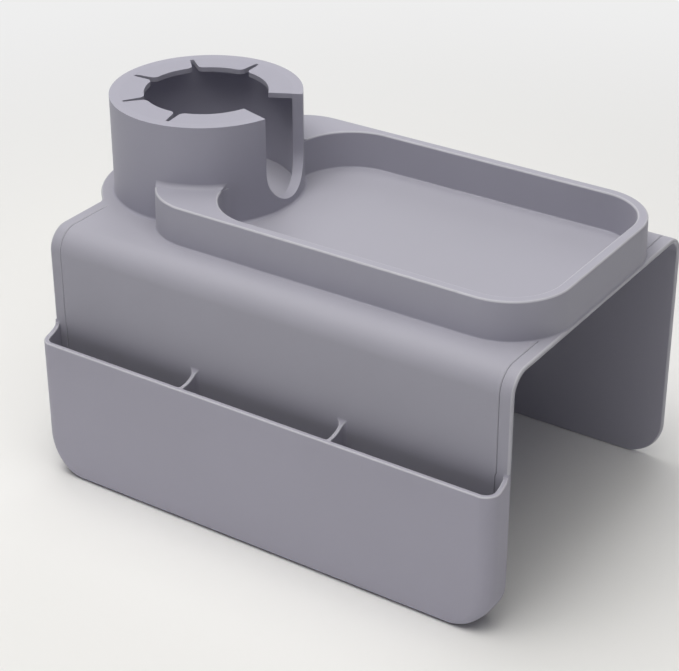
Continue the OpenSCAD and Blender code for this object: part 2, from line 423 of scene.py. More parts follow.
def foot_out(z):
    """How far the foot's fillet stands out from the wall at a height above the mat."""
    if z >= FOOT_R:
        return 0.0
    return FOOT_R - math.sqrt(FOOT_R ** 2 - (FOOT_R - z) ** 2)


def gap_columns():
    """Angles from the gap's middle, and the top of the wall's lower band there."""
    columns = []
    for i in range(GAP_COLUMNS + 1):
        t = math.pi * i / GAP_COLUMNS
        across = -GAP_W / 2 * math.cos(t)
        columns.append((math.asin(across / CUP_R), GAP_Z - GAP_W / 2 * math.sin(t)))
    return columns


def wall_columns():
    start = math.radians(GAP_HALF)
    sweep = 2 * math.pi - 2 * start
    return [(start + sweep * i / WALL_COLUMNS, GAP_Z) for i in range(1, WALL_COLUMNS)]


def low_heights(top):
    """Heights of a column's points from the mat up to the gap's edge."""
    heights = [MAT_T + foot_height(i) for i in range(FOOT_ROWS + 1)]
    last = heights[-1]
    under = min(1.6, (top - last) * 0.6)
    heights += [last + (top - under - last) * i / (LOW_ROWS - 1) for i in range(1, LOW_ROWS)]
    heights.append(top)
    return heights


def wall_point(angle, z, radius):
    turn = angle + math.radians(GAP_AZ)
    return Vector((CUP_X + radius * math.cos(turn), CUP_Y + radius * math.sin(turn), z)) / 1000


def outer_radius(z):
    return CUP_R + foot_out(z - MAT_T)


# %% Cup wall
def make_cup_wall():
    bm = bmesh.new()
    columns = gap_columns() + wall_columns()
    count = len(columns)
    in_gap = GAP_COLUMNS + 1
    outlines = []
    for angle, top in columns:
        outlines.append([wall_point(angle, z, outer_radius(z)) * 1000 for z in low_heights(top)])
    outlines.append(outlines[0])
    loft(bm, outlines, closed=False)
    bmesh.ops.remove_doubles(bm, verts=bm.verts[:], dist=1e-6)
    high = []
    for k in range(in_gap - 1, count + 1):
        angle = columns[k % count][0]
        heights = [GAP_Z + (CUP_TOP - GAP_Z) * i / HIGH_ROWS for i in range(HIGH_ROWS + 1)]
        high.append([wall_point(angle, z, outer_radius(z)) * 1000 for z in heights])
    loft(bm, high, closed=False)
    bmesh.ops.remove_doubles(bm, verts=bm.verts[:], dist=1e-6)
    bmesh.ops.recalc_face_normals(bm, faces=bm.faces[:])
    axis = Vector((CUP_X, CUP_Y, 0)) / 1000
    probe = max(bm.faces, key=lambda f: f.calc_center_median().z)
    outward = probe.calc_center_median() - axis
    if probe.normal.dot(Vector((outward.x, outward.y, 0))) < 0:
        bmesh.ops.reverse_faces(bm, faces=bm.faces[:])
    outer = {v for v in bm.verts}
    made = bmesh.ops.solidify(bm, geom=bm.faces[:], thickness=CUP_WALL / 1000)["geom"]
    for vert in bm.verts:
        flat = Vector((vert.co.x - axis.x, vert.co.y - axis.y))
        if flat.length < (CUP_R - CUP_WALL / 2) / 1000:
            flat = flat.normalized() * CUP_IN_R / 1000
            vert.co.x = axis.x + flat.x
            vert.co.y = axis.y + flat.y
    return bm


def round_wall_edges(bm):
    """Rounds the outer rim and the whole edge of the handle gap, and leaves the inner rim sharp."""
    bm.normal_update()
    chosen = []
    for edge in bm.edges:
        if len(edge.link_faces) != 2 or edge.calc_face_angle(0) < math.radians(40):
            continue
        mid = (edge.verts[0].co + edge.verts[1].co) / 2
        z = mid.z * 1000
        away = math.hypot(mid.x * 1000 - CUP_X, mid.y * 1000 - CUP_Y)
        if z < MAT_T + 0.5:
            continue
        on_top = all(v.co.z * 1000 > CUP_TOP - 0.01 for v in edge.verts)
        if on_top and away < CUP_IN_R + 0.5:
            continue
        chosen.append(edge)
    bmesh.ops.bevel(
        bm, geom=chosen, offset=0.0011, offset_type="OFFSET", segments=4, profile=0.5,
        affect="EDGES", material=-1, clamp_overlap=True,
    )
    print("cup wall rounded along", len(chosen), "edges")


cup_mesh = make_cup_wall()
round_wall_edges(cup_mesh)
cup_holder_wall = finish_piece(cup_mesh, "cup_holder_wall", turn_out=False)

# %% [markdown]
# Six petals close the cup holder's mouth. Each is a flat sector of the ring between two slits that
# widen towards the mug, with soft corners. A petal's hinge is the chord between its slits' ends, and
# its face is cut into narrow strips there; the petal stays where it is made.

# %% Petal outline
MOUTH_R = 36
SLIT_END_R = 48.5
PETAL_T = 3
PETAL_ENDS = [(22, 84), (84, 132), (132, 180), (-180, -132), (-132, -84), (-84, -22)]
SLIT_TIP = 1.1
SLIT_MOUTH = 1.8
CORNER_R = 4.0


def polar(radius, degrees):
    t = math.radians(degrees)
    return Vector((radius * math.cos(t), radius * math.sin(t), 0))


def side_points(end_angle, inward, at_gap):
    """The side of a petal from the wall to the mouth: along the gap's edge, or along a slit."""
    along = polar(1, end_angle)
    across = Vector((-along.y, along.x, 0)) * inward
    if at_gap:
        return [along * CUP_IN_R, along * MOUTH_R]
    tip = [
        along * (SLIT_END_R + SLIT_TIP * math.cos(t)) + across * SLIT_TIP * math.sin(t)
        for t in [math.pi / 2 * i / 5 for i in range(6)]
    ]
    reach = MOUTH_R + CORNER_R
    high = SLIT_MOUTH + CORNER_R
    centre = along * math.sqrt(reach ** 2 - high ** 2) + across * high
    inward_turn = math.atan2(-high, -math.sqrt(reach ** 2 - high ** 2))
    corner = []
    for i in range(9):
        t = -math.pi / 2 + (inward_turn + math.pi / 2) * i / 8
        corner.append(centre + along * CORNER_R * math.cos(t) + across * CORNER_R * math.sin(t))
    return [along * CUP_IN_R] + tip + corner


def petal_outline(k):
    start, stop = PETAL_ENDS[k]
    outer = [polar(CUP_IN_R, start + (stop - start) * i / 24) for i in range(25)]
    right_side = side_points(stop, -1, k == 5)
    left_side = side_points(start, 1, k == 0)
    inner_start = math.degrees(math.atan2(right_side[-1].y, right_side[-1].x))
    inner_stop = math.degrees(math.atan2(left_side[-1].y, left_side[-1].x))
    while inner_start - inner_stop > 180:
        inner_start -= 360
    while inner_start - inner_stop < 0:
        inner_start += 360
    inner = [polar(MOUTH_R, inner_start + (inner_stop - inner_start) * i / 20) for i in range(1, 20)]
    return outer + right_side[1:] + inner + left_side[:0:-1]


# %% Petals
def petal_chord(k):
    start, stop = PETAL_ENDS[k]
    return SLIT_END_R * math.cos(math.radians((stop - start) / 2))


def make_petal(k):
    start, stop = PETAL_ENDS[k]
    bm = bmesh.new()
    points = petal_outline(k)
    verts = [bm.verts.new(p / 1000) for p in points]
    bm.faces.new(verts)
    made = bmesh.ops.extrude_face_region(bm, geom=bm.faces[:])["geom"]
    lifted = [v for v in made if isinstance(v, bmesh.types.BMVert)]
    bmesh.ops.translate(bm, verts=lifted, vec=(0, 0, PETAL_T / 1000))
    bm.normal_update()
    rim = []
    for edge in bm.edges:
        flat = abs(edge.verts[0].co.z - edge.verts[1].co.z) < 1e-7
        mid = (edge.verts[0].co + edge.verts[1].co) / 2
        free = math.hypot(mid.x, mid.y) * 1000 < SLIT_END_R + SLIT_TIP - 0.1
        if flat and free and len(edge.link_faces) == 2 and edge.calc_face_angle(0) > 0.7:
            rim.append(edge)
    bmesh.ops.bevel(
        bm, geom=rim, offset=0.0007, offset_type="OFFSET", segments=3, profile=0.5,
        affect="EDGES", material=-1, clamp_overlap=True,
    )
    mid_angle = (start + stop) / 2
    out = polar(1, mid_angle)
    chord = petal_chord(k)
    for step in range(9):
        place = out * (chord + 0.5 - 0.7 * step) / 1000
        bmesh.ops.bisect_plane(
            bm, geom=bm.verts[:] + bm.edges[:] + bm.faces[:], dist=1e-7,
            plane_co=place, plane_no=out,
        )
    bmesh.ops.recalc_face_normals(bm, faces=bm.faces[:])
    place = Vector((CUP_X, CUP_Y, CUP_TOP - PETAL_T)) / 1000
    turn = Matrix.Rotation(math.radians(GAP_AZ), 4, "Z")
    bmesh.ops.transform(bm, matrix=Matrix.Translation(place) @ turn, verts=bm.verts[:])
    piece = finish_piece(bm, "grip_petal_%d" % (k + 1))
    return piece


petals = [make_petal(k) for k in range(6)]

# %% [markdown]
# The tray wall stands on the mat, 21 mm high. Its outer face and its hollow have different outlines:
# beside the cup holder the wall widens into two flat webs, where the hollow's round corners run into
# the cylinder. Both outlines are drawn with the same number of points, from the cup holder round the
# tray and back, and lofted from foot to foot over the rounded rim.

# %% Tray outlines
WALL_T = 6
TRAY_X1 = wall_high[0]
TRAY_Y0 = wall_low[1]
TRAY_Y1 = wall_high[1]
OUT_R = 36
HOLLOW_X0 = CUP_X + 39.5
HOLLOW_LEFT_R = 36
HIDDEN_R = CUP_R - 0.8
RIM_R = 1.1
TRAY_FOOT = 0.9
TRAY_DRAFT = 0.5
WEB_FILLET = 3
WEB_CORNER_R = 6


def tray_outline(x0, x1, y0, y1, left_r, right_r):
    """Front left, front right, back right and back left corner, joined by straight runs."""
    parts = [
        arc((x0 + left_r, y0 + left_r), left_r, 180, 270, 30),
        arc((x1 - right_r, y0 + right_r), right_r, 270, 360, 30),
        arc((x1 - right_r, y1 - right_r), right_r, 0, 90, 30),
        arc((x0 + left_r, y1 - left_r), left_r, 90, 180, 30),
    ]
    return parts


def from_cup(points):
    """Drops the points of a corner that are hidden inside the cup holder's wall."""
    return [p for p in points if math.hypot(p[0] - CUP_X, p[1] - CUP_Y) > HIDDEN_R]


def resample(points, count):
    """The same run with a number of points spaced evenly along it."""
    lengths = [0.0]
    for a, b in zip(points, points[1:]):
        lengths.append(lengths[-1] + math.dist(a, b))
    result = []
    for i in range(count):
        want = lengths[-1] * i / (count - 1)
        k = max(j for j in range(len(lengths) - 1) if lengths[j] <= want + 1e-9)
        span = lengths[k + 1] - lengths[k]
        f = (want - lengths[k]) / span
        a, b = points[k], points[k + 1]
        result.append((a[0] + (b[0] - a[0]) * f, a[1] + (b[1] - a[1]) * f))
    return result


def towards(origin, target, distance):
    length = math.dist(origin, target)
    return tuple(o + (t - o) * distance / length for o, t in zip(origin, target))


def hollow_end(centre, radius, hand, steps=10):
    """A round end of the hollow, from inside the cup's wall over a fillet onto the hollow's corner."""
    cup = (CUP_X, CUP_Y)
    small = WEB_CORNER_R - (radius - HOLLOW_LEFT_R)
    near, far = CUP_R + small, radius - small
    apart = math.dist(cup, centre)
    along = (near ** 2 - far ** 2 + apart ** 2) / (2 * apart)
    aside = hand * math.sqrt(near ** 2 - along ** 2)
    ux, uy = (centre[0] - CUP_X) / apart, (centre[1] - CUP_Y) / apart
    f = (CUP_X + along * ux - aside * uy, CUP_Y + along * uy + aside * ux)
    touch_cup = towards(f, cup, small)
    touch_bowl = towards(centre, f, radius)
    start = math.atan2(touch_cup[1] - f[1], touch_cup[0] - f[0])
    turn = math.atan2(touch_bowl[1] - f[1], touch_bowl[0] - f[0]) - start
    turn = (turn + math.pi) % (2 * math.pi) - math.pi
    points = [towards(cup, touch_cup, HIDDEN_R)]
    for i in range(steps + 1):
        t = start + turn * i / steps
        points.append((f[0] + small * math.cos(t), f[1] + small * math.sin(t)))
    return points


def wall_path(grow, hollow):
    """The outer outline, or the hollow's, grown outwards by an offset."""
    if hollow:
        parts = tray_outline(
            HOLLOW_X0 - grow, TRAY_X1 - WALL_T + grow, TRAY_Y0 + WALL_T - grow, TRAY_Y1 - WALL_T + grow,
            HOLLOW_LEFT_R + grow, OUT_R - WALL_T + grow,
        )
    else:
        parts = tray_outline(
            CUP_X - grow, TRAY_X1 + grow, TRAY_Y0 - grow, TRAY_Y1 + grow, OUT_R + grow, OUT_R + grow
        )
    if not hollow:
        ends = [resample(from_cup(part), 34) for part in (parts[0], parts[3])]
        return ends[0] + parts[1] + parts[2] + ends[1]
    radius = HOLLOW_LEFT_R + grow
    x = HOLLOW_X0 + HOLLOW_LEFT_R
    ends = []
    for part, y, hand in (
        (parts[0], TRAY_Y0 + WALL_T + HOLLOW_LEFT_R, -1),
        (parts[3][::-1], TRAY_Y1 - WALL_T - HOLLOW_LEFT_R, 1),
    ):
        end = hollow_end((x, y), radius, hand)
        start = math.atan2(end[-1][1] - y, end[-1][0] - x)
        stop = math.atan2(part[-1][1] - y, part[-1][0] - x)
        turn = (stop - start + math.pi) % (2 * math.pi) - math.pi
        round_part = [
            (x + radius * math.cos(start + turn * i / 22), y + radius * math.sin(start + turn * i / 22))
            for i in range(1, 23)
        ]
        ends.append(end + round_part)
    return ends[0] + parts[1] + parts[2] + ends[1][::-1]


# %% Tray wall
def tray_stations():
    """(grow of the outer outline or of the hollow, height, which outline)."""
    stations = []
    foot = TRAY_FOOT
    for i in range(6):
        t = math.pi / 2 * i / 5
        stations.append((foot * (1 - math.sin(t)) + TRAY_DRAFT, MAT_T + foot * (1 - math.cos(t)), False))
    for i in range(1, 4):
        f = i / 4
        stations.append((TRAY_DRAFT * (1 - f), MAT_T + foot + (TRAY_TOP - RIM_R - MAT_T - foot) * f, False))
    for i in range(6):
        t = math.pi / 2 * i / 5
        stations.append((-RIM_R * (1 - math.cos(t)), TRAY_TOP - RIM_R * (1 - math.sin(t)), False))
    inner = []
    for grow, z, _ in stations:
        inner.append((-grow, z, True))
    return stations + inner[::-1]


def make_tray_wall():
    bm = bmesh.new()
    outlines = []
    for grow, z, hollow in tray_stations():
        outlines.append([(min(x, SIDE - 0.2), y, z) for x, y in wall_path(grow, hollow)])
    loft(bm, outlines, closed=False)
    boundary = [e for e in bm.edges if len(e.link_faces) == 1]
    low = [e for e in boundary if all(v.co.z * 1000 < MAT_T + 0.01 for v in e.verts)]
    bmesh.ops.bridge_loops(bm, edges=low)
    bmesh.ops.holes_fill(bm, edges=[e for e in bm.edges if len(e.link_faces) == 1], sides=0)
    return finish_piece(bm, "tray_rim")


tray_rim = make_tray_wall()

# %% [markdown]
# On top of each web a concave fillet climbs the cup holder's wall. Its section is turned about the
# cup's axis, and each point of the section turns just as far as the web reaches at its radius.

# %% Web fillets
def crossing(path, radius):
    """Direction from the cup's axis, in degrees, in which a path first gets further away than a radius."""
    for a, b in zip(path, path[1:]):
        da = math.hypot(a[0] - CUP_X, a[1] - CUP_Y)
        db = math.hypot(b[0] - CUP_X, b[1] - CUP_Y)
        if da <= radius < db:
            f = (radius - da) / (db - da)
            x, y = a[0] + (b[0] - a[0]) * f, a[1] + (b[1] - a[1]) * f
            return math.degrees(math.atan2(y - CUP_Y, x - CUP_X))
    return math.degrees(math.atan2(path[0][1] - CUP_Y, path[0][0] - CUP_X))


def web_fillet_section():
    """Points (radius, height) round the fillet's section."""
    section = [(CUP_R - 1.0, TRAY_TOP - 0.4), (CUP_R - 1.0, TRAY_TOP + WEB_FILLET)]
    for i in range(9):
        t = math.pi / 2 * i / 8
        section.append((
            CUP_R + WEB_FILLET * (1 - math.cos(t)) - 0.02,
            TRAY_TOP + WEB_FILLET * (1 - math.sin(t)) + 0.01,
        ))
    return section + [(CUP_R + WEB_FILLET, TRAY_TOP - 0.4)]


def make_web_fillet(name, front):
    outer_path = wall_path(-0.25, False)
    hollow_path = wall_path(0.25, True)
    if not front:
        outer_path, hollow_path = outer_path[::-1], hollow_path[::-1]
    section = web_fillet_section()
    ends = [(crossing(outer_path, r), crossing(hollow_path, r)) for r, _ in section]
    outlines = []
    for i in range(21):
        outline = []
        for (r, z), (start, stop) in zip(section, ends):
            t = math.radians(start + (stop - start) * i / 20)
            outline.append((CUP_X + r * math.cos(t), CUP_Y + r * math.sin(t), z))
        outlines.append(outline)
    bm = bmesh.new()
    loft(bm, outlines, fill_ends=True)
    return finish_piece(bm, name)


web_fillets = [make_web_fillet("web_fillet_front", True), make_web_fillet("web_fillet_back", False)]

# %% [markdown]
# The pocket is a shallow moulded shell. Seen from the front it has the flap's outline, and its front
# face rounds back into its end walls and bottom. The outline is lofted from the flap forwards, the
# face is filled, and the skin is thickened inwards. The end walls sweep up to the flap.

# %% Pocket shell
POCKET_T = 3.0
POCKET_END_R = 9.0
POCKET_LOW_R = 4.0
RIM_Z = -61.0
RIM_RISE = 6.5
RISE_LEN = 12.0
RISE_STEPS = 14


def rim_height(y):
    """Height of the pocket's rim at a distance in front of the flap."""
    along = y - (-FLAP_Y - RISE_LEN)
    if along <= 0:
        return RIM_Z
    share = min(along / RISE_LEN, 1.0)
    return RIM_Z + RIM_RISE * (1 - math.sqrt(1 - share ** 2))


def rise_places():
    """Values of y along the rise, closer together near the flap, where it gets steep."""
    return [-FLAP_Y - RISE_LEN + RISE_LEN * math.sin(math.pi / 2 * i / RISE_STEPS)
            for i in range(RISE_STEPS + 1)]


def rounded_inset(depth, radius):
    """How far an outline is drawn in at a depth behind the front face."""
    if depth >= radius:
        return 0.0
    return radius - math.sqrt(radius ** 2 - (radius - depth) ** 2)


def pocket_outline(y, more_inset=0.0):
    depth = y - POCKET_Y
    side_in = rounded_inset(depth, POCKET_END_R) + more_inset
    low_in = rounded_inset(depth, POCKET_LOW_R) + more_inset
    top = rim_height(y)
    side = SIDE - side_in
    low = -DROP + low_in
    wide, high = FLAP_R - side_in, FLAP_R - low_in
    corner_z = low + high
    left = [(-side, y, top + (corner_z - top) * i / 8) for i in range(8)]
    for x, z in arc((0, 0), 1, 180, 270, 18):
        left.append((-side + wide + wide * x, y, corner_z + high * z))
    right = [(-x, yy, z) for x, yy, z in left[::-1]]
    return left + right


def pocket_stations():
    """(y, extra inset) from the flap's back edge to the front face."""
    edge = -FLAP_Y + MAT_T
    stations = [(edge - 0.35, 0.5), (edge - 0.7, 0.12), (edge - 1.2, 0.0)]
    stations += [(y, 0.0) for y in rise_places()]
    for i in range(9):
        t = math.pi / 2 * i / 8
        for radius in (POCKET_END_R, POCKET_LOW_R):
            y = POCKET_Y + radius * (1 - math.sin(t))
            if all(abs(y - other) > 0.15 for other, _ in stations):
                stations.append((y, 0.0))
    return sorted(stations, key=lambda station: -station[0])


def round_pocket_rim(bm):
    """Rounds both edges of the rim, up to where it turns steeply to the flap."""
    last_y = -(FLAP_Y + 0.4) / 1000
    lowest = (RIM_Z - 1) / 1000
    chosen = [
        edge for edge in bm.edges
        if edge.calc_face_angle(0) > math.radians(55)
        and all(v.co.y < last_y and v.co.z > lowest for v in edge.verts)
    ]
    bmesh.ops.bevel(
        bm, geom=chosen, offset=0.0009, offset_type="OFFSET", segments=4, profile=0.5,
        affect="EDGES", material=-1, clamp_overlap=True,
    )
    print("pocket rim rounded along", len(chosen), "edges")


def make_pocket():
    bm = bmesh.new()
    outlines = [pocket_outline(y, more_inset) for y, more_inset in pocket_stations()]
    rings = loft(bm, outlines, closed=False)
    bmesh.ops.contextual_create(bm, geom=rings[-1])
    bmesh.ops.recalc_face_normals(bm, faces=bm.faces[:])
    front = min(bm.faces, key=lambda f: f.calc_center_median().y)
    if front.normal.y > 0:
        bmesh.ops.reverse_faces(bm, faces=bm.faces[:])
    bmesh.ops.inset_region(bm, faces=[front], thickness=0.002, use_even_offset=True)
    bmesh.ops.remove_doubles(bm, verts=bm.verts[:], dist=1e-6)
    piece = place_mesh(bm, "pocket_skin")
    thick = piece.modifiers.new("wall", "SOLIDIFY")
    thick.thickness = POCKET_T / 1000
    thick.offset = -1
    thick.use_even_offset = True
    bpy.context.view_layer.update()
    finished = bpy.data.meshes.new_from_object(piece.evaluated_get(bpy.context.evaluated_depsgraph_get()))
    bm = bmesh.new()
    bm.from_mesh(finished)
    bpy.data.objects.remove(piece)
    round_pocket_rim(bm)
    return finish_piece(bm, "pocket_shell", turn_out=False)


pocket_shell = make_pocket()

# %% [markdown]
# Two thin walls split the pocket in three. Their upper edge starts at the front rim and sweeps up to
# the flap, where the rubber spreads into a small fillet.

# %% Dividers
DIVIDER_T = 2.2
DIVIDER_X = (divider_high[0] + divider_low[0]) / 2
DIVIDER_FILLET = 2.2
FRONT_FILLET = 1.6
DIVIDER_TOP_R = 0.8
FRONT_Y = POCKET_Y + POCKET_T


def divider_section(x, y):
    """Section across a divider at a distance in front of the flap: rounded on top, open below."""
    spread = 0.0
    for fillet, gone in (
        (DIVIDER_FILLET, y + FLAP_Y + DIVIDER_FILLET), (FRONT_FILLET, FRONT_Y + FRONT_FILLET - y)
    ):
        if gone > 0:
            spread += fillet - math.sqrt(fillet ** 2 - min(gone, fillet) ** 2)
    half = DIVIDER_T / 2 + spread
    top = rim_height(y) - 0.3
    centre = top - DIVIDER_TOP_R
    low = -DROP + 2
    left = [(-half, low)]
    left += [(px - half + DIVIDER_TOP_R, pz) for px, pz in arc((0, centre), DIVIDER_TOP_R, 180, 90, 5)]
    return [(x + dx, y, z) for dx, z in left + [(-dx, z) for dx, z in left[::-1]]]


def make_divider(x, name):
    stations = [FRONT_Y - 0.3]
    stations += [FRONT_Y + FRONT_FILLET * (1 - math.cos(math.pi / 2 * i / 6)) for i in range(7)]
    stations += [y for y in rise_places() if y > FRONT_Y + FRONT_FILLET + 0.2]
    bm = bmesh.new()
    loft(bm, [divider_section(x, y) for y in stations], fill_ends=True)
    return finish_piece(bm, name)


divider_left_wall = make_divider(-DIVIDER_X, "divider_left_wall")
divider_right_wall = make_divider(DIVIDER_X, "divider_right_wall")

# %% [markdown]
# Moulded silicone is matte and slightly velvety. Up close it has the fine grain of the blasted
# mould, its tone drifts a little over a hand's width, and it picks up pale specks of dust. Its rounded
# edges are painted paler, partly as wear and partly as a painted highlight, and its grooves are
# darkened with painted shade. One node group makes these effects, and each material places it with
# its own colour and strength.

# %% Silicone node group
def math_node(nodes, operation, value=None):
    node = nodes.new("ShaderNodeMath")
    node.operation = operation
    if value is not None:
        node.inputs[1].default_value = value
    return node


def build_silicone_group():
    group = bpy.data.node_groups.new("moulded_silicone", "ShaderNodeTree")
    face = group.interface
    face.new_socket("Tone", in_out="INPUT", socket_type="NodeSocketColor")
    face.new_socket("Drift", in_out="INPUT", socket_type="NodeSocketFloat")
    face.new_socket("Dust", in_out="INPUT", socket_type="NodeSocketFloat")
    face.new_socket("Grain", in_out="INPUT", socket_type="NodeSocketFloat")
    face.new_socket("Rounded", in_out="INPUT", socket_type="NodeSocketFloat")
    face.new_socket("Edge", in_out="INPUT", socket_type="NodeSocketFloat")
    face.new_socket("Creased", in_out="INPUT", socket_type="NodeSocketFloat")
    face.new_socket("Crease", in_out="INPUT", socket_type="NodeSocketFloat")
    face.new_socket("Color", in_out="OUTPUT", socket_type="NodeSocketColor")
    face.new_socket("Roughness", in_out="OUTPUT", socket_type="NodeSocketFloat")
    face.new_socket("Height", in_out="OUTPUT", socket_type="NodeSocketFloat")
    nodes, links = group.nodes, group.links
    start = nodes.new("NodeGroupInput")
    end = nodes.new("NodeGroupOutput")
    place = nodes.new("ShaderNodeTexCoord")
    broad = nodes.new("ShaderNodeTexNoise")
    broad.inputs["Scale"].default_value = 14
    broad.inputs["Detail"].default_value = 3
    fine = nodes.new("ShaderNodeTexNoise")
    fine.inputs["Scale"].default_value = 1500
    fine.inputs["Detail"].default_value = 2
    specks = nodes.new("ShaderNodeTexVoronoi")
    specks.inputs["Scale"].default_value = 260
    for node in (broad, fine, specks):
        links.new(place.outputs["Object"], node.inputs["Vector"])
    centred = math_node(nodes, "SUBTRACT", 0.5)
    links.new(broad.outputs["Fac"], centred.inputs[0])
    drift = math_node(nodes, "MULTIPLY")
    links.new(centred.outputs[0], drift.inputs[0])
    links.new(start.outputs["Drift"], drift.inputs[1])
    gain = math_node(nodes, "ADD", 1.0)
    links.new(drift.outputs[0], gain.inputs[0])
    toned = nodes.new("ShaderNodeVectorMath")
    toned.operation = "SCALE"
    links.new(start.outputs["Tone"], toned.inputs[0])
    links.new(gain.outputs[0], toned.inputs["Scale"])
    near = math_node(nodes, "LESS_THAN", 0.055)
    links.new(specks.outputs["Distance"], near.inputs[0])
    chance = math_node(nodes, "GREATER_THAN", 0.93)
    links.new(specks.outputs["Color"], chance.inputs[0])
    dust = math_node(nodes, "MULTIPLY")
    links.new(near.outputs[0], dust.inputs[0])
    links.new(chance.outputs[0], dust.inputs[1])
    dusty = math_node(nodes, "MULTIPLY")
    links.new(dust.outputs[0], dusty.inputs[0])
    links.new(start.outputs["Dust"], dusty.inputs[1])
    mix = nodes.new("ShaderNodeMix")
    mix.data_type = "RGBA"
    mix.inputs["B"].default_value = (0.72, 0.72, 0.74, 1)
    links.new(dusty.outputs[0], mix.inputs["Factor"])
    links.new(toned.outputs["Vector"], mix.inputs["A"])
    # Rounded edges are mixed towards a paler grey: partly wear, partly a painted highlight along the
    # roundings.
    edgy = math_node(nodes, "MULTIPLY")
    links.new(start.outputs["Rounded"], edgy.inputs[0])
    links.new(start.outputs["Edge"], edgy.inputs[1])
    wear_and_highlight = nodes.new("ShaderNodeMix")
    wear_and_highlight.data_type = "RGBA"
    wear_and_highlight.inputs["B"].default_value = (0.60, 0.60, 0.64, 1)
    links.new(edgy.outputs[0], wear_and_highlight.inputs["Factor"])
    links.new(mix.outputs["Result"], wear_and_highlight.inputs["A"])
    # Grooves and creases are mixed towards near black: painted shade.
    painted_groove_shade = math_node(nodes, "MULTIPLY")
    links.new(start.outputs["Creased"], painted_groove_shade.inputs[0])
    links.new(start.outputs["Crease"], painted_groove_shade.inputs[1])
    with_groove_shade = nodes.new("ShaderNodeMix")
    with_groove_shade.data_type = "RGBA"
    with_groove_shade.inputs["B"].default_value = (0.10, 0.10, 0.115, 1)
    links.new(painted_groove_shade.outputs[0], with_groove_shade.inputs["Factor"])
    links.new(wear_and_highlight.outputs["Result"], with_groove_shade.inputs["A"])
    links.new(with_groove_shade.outputs["Result"], end.inputs["Color"])
    rough = nodes.new("ShaderNodeMapRange")
    rough.inputs["To Min"].default_value = 0.52
    rough.inputs["To Max"].default_value = 0.68
    links.new(broad.outputs["Fac"], rough.inputs["Value"])
    links.new(rough.outputs["Result"], end.inputs["Roughness"])
    height = math_node(nodes, "MULTIPLY")
    links.new(fine.outputs["Fac"], height.inputs[0])
    links.new(start.outputs["Grain"], height.inputs[1])
    links.new(height.outputs[0], end.inputs["Height"])
    return group


silicone_group = build_silicone_group()


# %% Silicone materials
def linear(rgb):
    """An sRGB colour of 0 to 255 as linear values."""
    values = [c / 255 for c in rgb]
    return [v / 12.92 if v <= 0.04045 else ((v + 0.055) / 1.055) ** 2.4 for v in values]


def silicone(name, rgb, drift=0.10, dust=0.35, grain=1.0, edge=0.5, crease=0.6):
    material = bpy.data.materials.new(name)
    material.use_nodes = True
    nodes, links = material.node_tree.nodes, material.node_tree.links
    skin = nodes["Principled BSDF"]
    effect = nodes.new("ShaderNodeGroup")
    effect.node_tree = silicone_group
    effect.inputs["Tone"].default_value = (*linear(rgb), 1)
    effect.inputs["Drift"].default_value = drift
    effect.inputs["Dust"].default_value = dust
    effect.inputs["Grain"].default_value = grain
    effect.inputs["Edge"].default_value = edge
    effect.inputs["Crease"].default_value = crease
    for attribute, socket in (("edge", "Rounded"), ("crease", "Creased")):
        mark = nodes.new("ShaderNodeAttribute")
        mark.attribute_name = attribute
        links.new(mark.outputs["Fac"], effect.inputs[socket])
    bump = nodes.new("ShaderNodeBump")
    bump.inputs["Strength"].default_value = 0.12
    bump.inputs["Distance"].default_value = 0.0002
    links.new(effect.outputs["Color"], skin.inputs["Base Color"])
    links.new(effect.outputs["Roughness"], skin.inputs["Roughness"])
    links.new(effect.outputs["Height"], bump.inputs["Height"])
    links.new(bump.outputs["Normal"], skin.inputs["Normal"])
    skin.inputs["IOR"].default_value = 1.41
    skin.inputs["Sheen Weight"].default_value = 0.08
    skin.inputs["Sheen Roughness"].default_value = 0.5
    return material


# One rubber in five tones a shade apart. The differences are painted light: each tone is set so that its
# zone renders as bright as it looks in its light, the pocket palest, and the pocket's paler rim line is a
# painted highlight.
mat_skin = silicone("silicone_mat", (160, 159, 171))
cup_skin = silicone("silicone_cup", (159, 158, 172))
tray_skin = silicone("silicone_tray", (161, 160, 173))
grip_skin = silicone("silicone_grip", (157, 156, 170))
pocket_skin = silicone("silicone_pocket", (165, 163, 177), edge=0.6)


def dress(piece, material):
    piece.data.materials.clear()
    piece.data.materials.append(material)


# %% [markdown]
# Each piece now takes its finish and hides the solid it stands for. The top sheet, the cup holder,
# the tray and the pocket move with their bodies; the front and the back sheet and the petals stay
# where they are made.

# %% Ride and replace
dress(mat_top, mat_skin)
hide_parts("top_panel", "cup_base")
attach(mat_top, "saddle")

for sheet_piece, side, body, nodes in (
    (mat_front, -1, "front_side", ("front_bend", "front_flap")),
    (mat_back, 1, "back_side", ("back_bend", "back_flap")),
):
    dress(sheet_piece, mat_skin)
    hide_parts(*nodes)
    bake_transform(sheet_piece)

dress(cup_holder_wall, cup_skin)
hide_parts("cup_wall", "grip_collar")
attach(cup_holder_wall, "saddle")

dress(tray_rim, tray_skin)
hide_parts("tray_wall")
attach(tray_rim, "saddle")
for fillet in web_fillets:
    dress(fillet, tray_skin)
    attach(fillet, "saddle")

for piece, node in (
    (pocket_shell, "pocket"),
    (divider_left_wall, "divider_left"),
    (divider_right_wall, "divider_right"),
):
    dress(piece, pocket_skin)
    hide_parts(node)
    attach(piece, "front_side")

for k, petal in enumerate(petals):
    dress(petal, grip_skin)
    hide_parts("petal_%d" % (k + 1))
    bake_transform(petal)

# %% [markdown]
# The light is a studio's: two large soft panels overhead, weaker ones low in front and behind that
# lift the upright faces, and a dim world that fills the shadows. Only the eye and the reflections see a pale
# surrounding, and further out the floor fades into it, so that there is no horizon. Near the object
# the floor is an ordinary matte surface that keeps the shadow.

# %% Pale surrounding
SURROUND = 0.86


